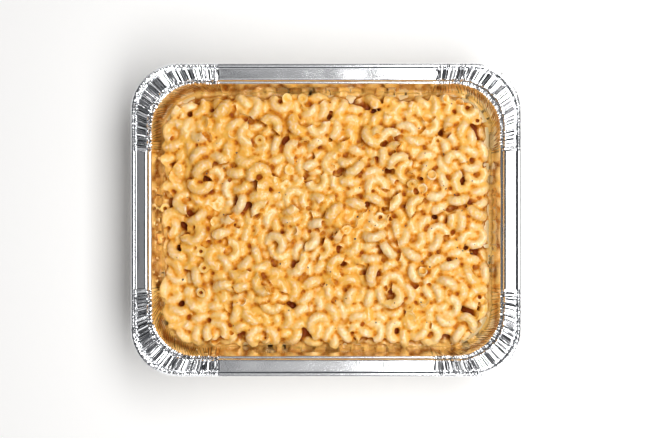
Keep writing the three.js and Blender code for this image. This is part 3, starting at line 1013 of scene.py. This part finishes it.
def touchWalls(places):  # what was pressed to the wall follows its flutes and folds
    inset = wallInset(places[:, 2])
    r = wallCorner(inset)
    near = np.nonzero(depthInside(places[:, 0], places[:, 1], inset) < 2 * mm)[0]
    for i in near.tolist():
        x, y = places[i, :2]
        qx = abs(x) - (halfLength - inset[i] - r[i])
        qy = abs(y) - (halfWidth - inset[i] - r[i])
        outward = Vector((qx, qy, 0)) if qx > 0 and qy > 0 else Vector((qx > qy, qx <= qy, 0))
        outward = Vector((math.copysign(outward.x, x), math.copysign(outward.y, y), 0))
        outward.normalize()
        place = Vector(places[i])
        met, _, _, _ = trayWalls.ray_cast(place - outward * 5 * mm, outward, 10 * mm)
        if met is None:
            continue
        gap = (met - place).dot(outward)
        pressed = depthInside(x, y, inset[i]) < sauce["pressed"]
        if pressed or gap < sauce["clearance"]:
            places[i] = met - outward * sauce["clearance"]
    return places


def ramp(values, start, span, strength):
    return np.clip((values - start) / span, 0, 1) * strength


def paintMacaroni(mesh, places, normals, spine, plugged):  # the colour masks, mostly painted shade and light; gives each point's elbow
    pairs = np.empty(len(mesh.edges) * 2, np.int32)
    mesh.edges.foreach_get("vertices", pairs)
    pairs = pairs.reshape(-1, 2)
    near = average(places, pairs, 8)
    wide = average(near, pairs, 32)
    # how deep each point lies in a fine fold and in a wide hollow; they set the painted shade of creases
    # and cracks and the paler crests
    foldShade = ((near - places) * normals).sum(1) / mm
    swell = ((wide - places) * normals).sum(1) / mm
    fromWall = depthInside(places[:, 0], places[:, 1], wallInset(places[:, 2]))
    # painted light by the walls: the painted shade of creases and cracks fades there
    wallShare = np.clip(0.3 + fromWall / (12 * mm), 0, 1)
    crease = (ramp(foldShade, *sauce["foldMask"]) + ramp(swell, *sauce["swellMask"])) * wallShare
    tree = kdtree.KDTree(spine.shape[0] * spine.shape[1])
    for i, p in enumerate(spine.reshape(-1, 3).tolist()):
        tree.insert(p, i)
    tree.balance()
    nearest = [tree.find(p)[1:] for p in places.tolist()]
    elbowOf = np.array([i for i, _ in nearest]) // spine.shape[1]
    far = np.array([d for _, d in nearest])
    under = np.where(plugged[elbowOf], sauce["pluggedDepth"], 1) * (pasta["tube"] - far)
    depth = np.maximum(far - pasta["tube"], under) / sauce["fullDepth"]
    wideGap = hollowShare(places, *sauce["wideGaps"])
    smallGap = hollowShare(places, *sauce["smallGaps"])
    masks = {
        "sauceDepth": np.clip(depth, 0, 1),
        # painted shade deep in the gaps
        "hollowShade": wideGap * np.clip(0.55 + crease, 0, 1),
        # painted shade in the creases
        "crease": np.clip(crease + smallGap * 0.5, 0, 1) ** 1.4,
        # paler crests: thin sauce, and partly a painted highlight
        "thinSauceAndHighlight": ramp(-swell, *sauce["thinSauceAndHighlightMask"]),
        # painted shade in the sharpest folds
        "crackShade": ramp(foldShade, *sauce["crackShadeMask"]) * wallShare,
        # painted light on the food by the walls, where the walls shade it
        "paintedLightByWall": np.clip(1.55 - 1.5 * wallShare, 0, 1),
        "elbowTone": ((elbowOf * 0.618) % 1) ** 0.7,
    }
    for name, values in masks.items():
        data = mesh.attributes.new(name, "FLOAT", "POINT").data
        data.foreach_set("value", values.astype(np.float32))
    return elbowOf


def tilesOf(places, middles, elbowOf):  # the tile of each point, or -1 where it lies buried
    across, up = sauce["tiles"]
    shareX, shareY = sauce["tiled"]
    column = ((middles[:, 0] / halfLength + shareX) / (2 * shareX) * across).astype(int)
    row = ((middles[:, 1] / halfWidth + shareY) / (2 * shareY) * up).astype(int)
    tileOf = (np.clip(column, 0, across - 1) * up + np.clip(row, 0, up - 1))[elbowOf]
    tileOf[places[:, 2] < bedTop(places) - sauce["buried"]] = -1
    return tileOf


def makeMacaroni():
    kinds, arcs, turns, centres = settleElbows()
    print("elbows settled")
    local = arcPlaces(np.linspace(-0.5, 0.5, 10)[None, :] * arcs[:, None])
    spine = np.einsum("nij,nkj->nki", turns, local) + centres[:, None]
    middles = spine.mean(1)
    whole, plugged = fuseElbows(kinds, turns, centres, middles)
    print("macaroni fused,", len(whole.vertices), "points")
    places, normals = coordinates(whole)
    rough = [
        noise.noise(Vector(p) * 190) + 0.5 * noise.noise(Vector(p) * 430)
        for p in places.tolist()
    ]
    rippled = places + normals * sauce["ripple"] * np.array(rough)[:, None]
    places = touchWalls(keepInside(rippled, 0.35 * mm))
    whole.vertices.foreach_set("co", places.astype(np.float32).ravel())
    elbowOf = paintMacaroni(whole, places, normals, spine, plugged)
    tileOf = tilesOf(places, middles, elbowOf)
    bm = bmesh.new()
    bm.from_mesh(whole)
    for n, letter in enumerate("ABCDEF"):
        tile = bm.copy()
        others = [f for f in tile.faces if tileOf[f.verts[0].index] != n]
        bmesh.ops.delete(tile, geom=others, context="FACES")
        mesh = newMesh("macaroni" + letter, tile)
        addObject("macaroni" + letter, mesh, cheesyPasta, "cheesy_pasta", "macaroni_heap")
        printTriangles(mesh)
    surface = bvhtree.BVHTree.FromBMesh(bm)
    bm.free()
    bpy.data.meshes.remove(whole)
    return surface


core = {
    "segments": 160,
    # heights and gaps to the wall in mm, and then the gaps of the top's rings
    "levels": ((1.4, 12), (1.4, 7), (3.5, 2.2), (6.5, 1.0), (15, 0.8), (24, 0.8)),
    "top": 30 * mm,
    "rings": (0.8, 6, 14, 30, 55, 85),
    "below": 1.2 * mm,  # how far it stays under the bed
}


def makeCore():  # the pasta below, down to the tray's floor
    bm = bmesh.new()
    mark = bm.verts.layers.int.new("mark")
    ring = bmesh.ops.create_circle(bm, segments=core["segments"], radius=0.3)["verts"]
    start = np.array([v.co[:] for v in ring])
    for i, v in enumerate(ring):
        v[mark] = i
    loop = list(bm.edges)
    bottom = list(bm.edges)
    rows = [(z * mm, gap * mm, False) for z, gap in core["levels"]]
    rows += [(core["top"], gap * mm, True) for gap in core["rings"]]
    for n, (z, gap, top) in enumerate(rows):
        if n:
            ring, loop = growLoop(bm, loop)
        places = start.copy()
        places[:, 2] = z
        places = keepInside(places, gap)
        if top:
            places[:, 2] = bedTop(places) - core["below"]
        for v in ring:
            v.co = places[v[mark]]
    bmesh.ops.contextual_create(bm, geom=loop)
    bmesh.ops.contextual_create(bm, geom=bottom)
    bmesh.ops.recalc_face_normals(bm, faces=bm.faces)
    bmesh.ops.triangulate(bm, faces=bm.faces)
    mesh = newMesh("pastaCore", bm)
    addObject("pastaCore", mesh, cheesyPasta, "cheesy_pasta", "macaroni_heap")


pepper = {
    "seed": 21,
    "count": 84,
    "length": (0.9, 2.3),
    "width": (0.5, 0.9),  # and the thickness, as shares of the length
    "thickness": 0.5,
    "clusters": 14,
    "spread": 9 * mm,
    "rough": (4000, 0.12),
}
slivers = {
    "seed": 8,
    "count": 22,
    "length": (1.6, 4.5),
    "width": (0.25, 0.6),
    "thickness": 0.5 * mm,
    "heights": (40 * mm, 57 * mm),
    "onLeft": (-0.5, 0.45),  # shares of the pan's half width and half length
    "inFront": (-0.7, -0.1),
    "lean": 0.19,
    "rough": (700, 0.5),
}


def lying(place, normal, turn):  # the matrix of a thing that lies on a surface
    stand = normal.to_track_quat("Z", "Y").to_matrix().to_4x4() @ Matrix.Rotation(turn, 4, "Z")
    return Matrix.Translation(place) @ stand


def roughen(bm, fineness, depth):
    noise.seed_set(1)  # noise_vector is seeded by the clock otherwise
    for v in bm.verts:
        v.co += noise.noise_vector(v.co * fineness) * depth * mm


def makePepper(surface):
    rng = random.Random(pepper["seed"])
    spots = [anywhere(rng) for _ in range(pepper["clusters"])]
    bm = bmesh.new()
    for n in range(pepper["count"]):
        if n % 2:
            x, y = rng.choice(spots)
            x, y = x + rng.gauss(0, pepper["spread"]), y + rng.gauss(0, pepper["spread"])
        else:
            x, y = anywhere(rng)
        place, normal, _, _ = surface.ray_cast(Vector((x, y, 0.1)), Vector((0, 0, -1)))
        if place is None or normal.z < 0.3:
            continue
        size = rng.uniform(*pepper["length"]) * mm / 2
        matrix = lying(place, normal, rng.uniform(0, 6))
        wide = size * rng.uniform(*pepper["width"])
        matrix = matrix @ Matrix.Diagonal((size, wide, size * pepper["thickness"], 1))
        bmesh.ops.create_icosphere(bm, subdivisions=1, radius=1, matrix=matrix)
    roughen(bm, *pepper["rough"])
    mesh = newMesh("pepperFlecks", bm, smooth=False)
    addObject("pepperFlecks", mesh, groundPepper, "cheesy_pasta", "macaroni_heap")


def makeSlivers():  # dried streaks and shreds on the left wall and the front one
    rng = random.Random(slivers["seed"])
    bm = bmesh.new()
    for n in range(slivers["count"]):
        z = rng.uniform(*slivers["heights"])
        onLeft = n % 3 > 0
        x = -halfLength if onLeft else rng.uniform(*slivers["inFront"]) * halfLength
        y = rng.uniform(*slivers["onLeft"]) * halfWidth if onLeft else -halfWidth
        place = keepInside(np.array([[x, y, z]]), 0.3 * mm)[0]
        facing = Vector((1, 0, slivers["lean"])) if onLeft else Vector((0, 1, slivers["lean"]))
        size = rng.uniform(*slivers["length"]) * mm / 2
        matrix = lying(place, facing, rng.uniform(0, 3))
        wide = size * rng.uniform(*slivers["width"])
        matrix = matrix @ Matrix.Diagonal((size, wide, slivers["thickness"], 1))
        bmesh.ops.create_icosphere(bm, subdivisions=3, radius=1, matrix=matrix)
    roughen(bm, *slivers["rough"])
    mesh = newMesh("sauceSlivers", bm)
    addObject("sauceSlivers", mesh, driedSauce, "cheesy_pasta", "macaroni_heap")


surface = makeMacaroni()
makeCore()
makePepper(surface)
makeSlivers()
print("macaroni ready")
